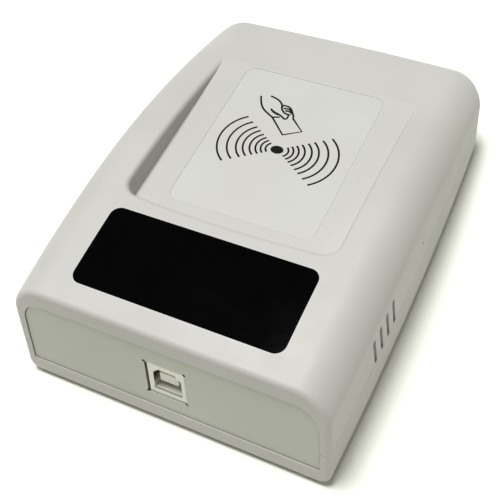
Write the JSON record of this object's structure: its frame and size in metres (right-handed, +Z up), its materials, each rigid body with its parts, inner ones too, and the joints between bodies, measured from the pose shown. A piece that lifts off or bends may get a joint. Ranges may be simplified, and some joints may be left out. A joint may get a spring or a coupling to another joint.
{
  "type": "ticket validator",
  "caption": "Low desktop contactless ticket reader: wedge-fronted shell, black display window, recessed card pad, data socket in the front panel.",
  "frame": {"origin": "middle of the overall box at the underside of the rubber feet", "axes": "+Z up, -Y out of the front panel with the socket, +X to the right as seen facing the front panel, +Y towards the back"},
  "size_m": [0.097, 0.132, 0.0372],
  "materials": {
    "case_top": "finely textured moulded ABS, light warm grey",
    "case_base": "finely textured moulded ABS, light warm grey",
    "panel_plastic": "smooth moulded ABS, slightly darker than the shells",
    "window_acrylic": "polished smoked acrylic, reads as black",
    "adhesive_tape": "black foam tape",
    "pad_film": "satin printed film",
    "foot_rubber": "moulded rubber",
    "screw_steel": "zinc-plated steel",
    "socket_plate": "satin nickel-plated steel sheet",
    "socket_liner": "grey-white moulded nylon",
    "socket_tongue": "white moulded nylon",
    "contact_gold": "gold-plated contacts",
    "board_laminate": "glass-epoxy board with green solder resist",
    "lead_sleeve": "sleeved wires",
    "chip_resin": "moulded epoxy",
    "crystal_can": "drawn steel can",
    "component_black": "black moulded nylon",
    "capacitor_can": "drawn aluminium can",
    "coil_copper": "etched copper track",
    "display_face": "dark grey moulded reflector",
    "segment_resin": "milky cast resin",
    "lamp_resin": "milky cast resin",
    "print_ink": "black screen ink of the pictogram on the pad"
  },
  "bodies": {
    "root": {"top_shell": "case_top", "bottom_shell": "case_base", "front_panel": "panel_plastic", "display_window": "window_acrylic", "window_tape": "adhesive_tape", "pad_label": "pad_film", "rubber_feet": "foot_rubber", "case_screws": "screw_steel", "usb_shell": "socket_plate", "usb_housing": "socket_liner", "usb_tongue": "socket_tongue", "usb_contacts": "contact_gold", "usb_board": "board_laminate", "usb_board_screws": "screw_steel", "usb_lead": "lead_sleeve", "main_board": "board_laminate", "main_board_screws": "screw_steel", "microcontroller": "chip_resin", "reader_chip": "chip_resin", "crystal": "crystal_can", "buzzer": "component_black", "voltage_regulator": "chip_resin", "capacitors": "capacitor_can", "antenna_board": "board_laminate", "antenna_coil": "coil_copper", "antenna_board_screws": "screw_steel", "antenna_header": "component_black", "antenna_header_pins": "contact_gold", "display_board": "board_laminate", "display_module": "display_face", "display_segments": "segment_resin", "status_lamps": "lamp_resin", "display_board_screws": "screw_steel", "display_header": "component_black", "display_header_pins": "contact_gold"}
  },
  "joints": []
}
